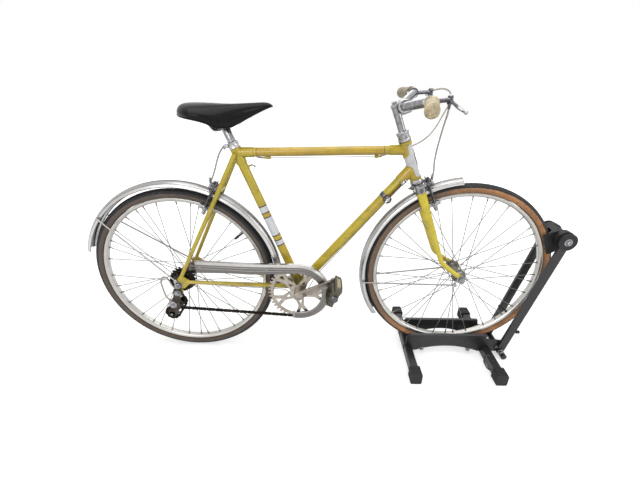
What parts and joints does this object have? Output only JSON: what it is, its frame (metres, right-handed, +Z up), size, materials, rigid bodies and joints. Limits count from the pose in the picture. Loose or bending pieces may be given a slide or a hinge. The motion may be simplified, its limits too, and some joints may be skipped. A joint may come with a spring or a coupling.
{
  "type": "junior bicycle on a front wheel floor stand",
  "caption": "Junior lugged-frame bicycle with mudguards, chain guard, caliper brakes and rear derailleur, its front wheel held in a low floor stand.",
  "frame": {"origin": "on the floor under the middle of the whole length and width", "axes": "+X towards the front wheel, +Y towards the bicycle's left side, +Z up"},
  "size_m": [1.4074, 0.4141, 0.8056],
  "materials": {
    "frame_paint": "aged gloss yellow enamel",
    "white_paint": "aged gloss white enamel",
    "chrome": "chrome plate, lightly pitted",
    "guard_metal": "polished, dulled with age",
    "rim_metal": "bright rolled rim",
    "spoke_metal": "plated wire",
    "tyre_rubber": "black tread, tan side walls",
    "crank_metal": "dull plated steel",
    "chain_metal": "oiled steel",
    "pedal_metal": "worn dark paint",
    "grip_plastic": "cream ribbed sleeve",
    "saddle_cover": "glossy black cover",
    "cable_sleeve": "pale grey sleeve",
    "stand_paint": "satin black powder coat",
    "stand_rubber": "matt black rubber"
  },
  "bodies": {
    "fork": {"fork_crown": "chrome", "fork_blade_left": "frame_paint", "fork_blade_right": "frame_paint", "front_axle": "chrome", "stem": "chrome", "handlebar": "chrome", "grip_left": "grip_plastic", "grip_right": "grip_plastic", "brake_lever_left": "chrome", "brake_lever_right": "chrome", "front_mudguard": "guard_metal", "front_mudguard_stay": "guard_metal", "front_brake": "chrome", "front_brake_cable": "cable_sleeve", "rear_brake_cable_front": "cable_sleeve", "stand_base": "stand_paint", "stand_caps": "stand_rubber", "stand_arm_left": "stand_paint", "stand_arm_right": "stand_paint", "tyre_holder": "stand_rubber"},
    "front_wheel": {"front_tyre": "tyre_rubber", "front_rim": "rim_metal", "front_spokes": "spoke_metal", "front_hub": "spoke_metal"},
    "frame": {"head_tube": "white_paint", "head_lugs": "frame_paint", "headset_cups": "chrome", "bottom_bracket_shell": "frame_paint", "seat_tube": "frame_paint", "top_tube": "frame_paint", "down_tube": "frame_paint", "chain_stay_left": "frame_paint", "chain_stay_right": "frame_paint", "seat_stay_left": "frame_paint", "seat_stay_right": "frame_paint", "rear_axle": "chrome", "seatpost": "chrome", "saddle": "saddle_cover", "rear_mudguard": "guard_metal", "rear_mudguard_stay": "guard_metal", "rear_brake": "chrome", "rear_brake_cable": "cable_sleeve", "chain": "chain_metal", "chain_guard": "guard_metal", "derailleur": "chain_metal", "shift_lever": "chain_metal", "gear_cable": "cable_sleeve"},
    "rear_wheel": {"rear_tyre": "tyre_rubber", "rear_rim": "rim_metal", "rear_spokes": "spoke_metal", "rear_hub": "spoke_metal", "freewheel": "chain_metal"},
    "crank": {"crank_left": "crank_metal", "crank_right": "crank_metal", "chainring": "crank_metal"},
    "pedal_left": {"pedal_left": "pedal_metal"},
    "pedal_right": {"pedal_right": "pedal_metal"}
  },
  "joints": [
    {"name": "front_wheel_spin", "type": "hinge", "parent": "fork", "child": "front_wheel", "pos_m": [0.40943, 0, 0.2953], "axis": [0, 1, 0], "continuous": true},
    {"name": "steering", "type": "hinge", "parent": "fork", "child": "frame", "pos_m": [0.25653, 0, 0.5746], "axis": [-0.3695, 0, 0.9292], "range_deg": [-60, 60], "deforming": ["rear_brake_cable_front"]},
    {"name": "rear_wheel_spin", "type": "hinge", "parent": "frame", "child": "rear_wheel", "pos_m": [-0.41827, 0, 0.275], "axis": [0, 1, 0], "continuous": true},
    {"name": "crank_spin", "type": "hinge", "parent": "frame", "child": "crank", "pos_m": [-0.06677, 0, 0.241], "axis": [0, 1, 0], "continuous": true},
    {"name": "right_pedal_spin", "type": "hinge", "parent": "crank", "child": "pedal_right", "pos_m": [0.03839, -0.0685, 0.29229], "axis": [0, 1, 0], "continuous": true},
    {"name": "left_pedal_spin", "type": "hinge", "parent": "crank", "child": "pedal_left", "pos_m": [-0.17193, 0.0685, 0.18971], "axis": [0, 1, 0], "continuous": true}
  ]
}
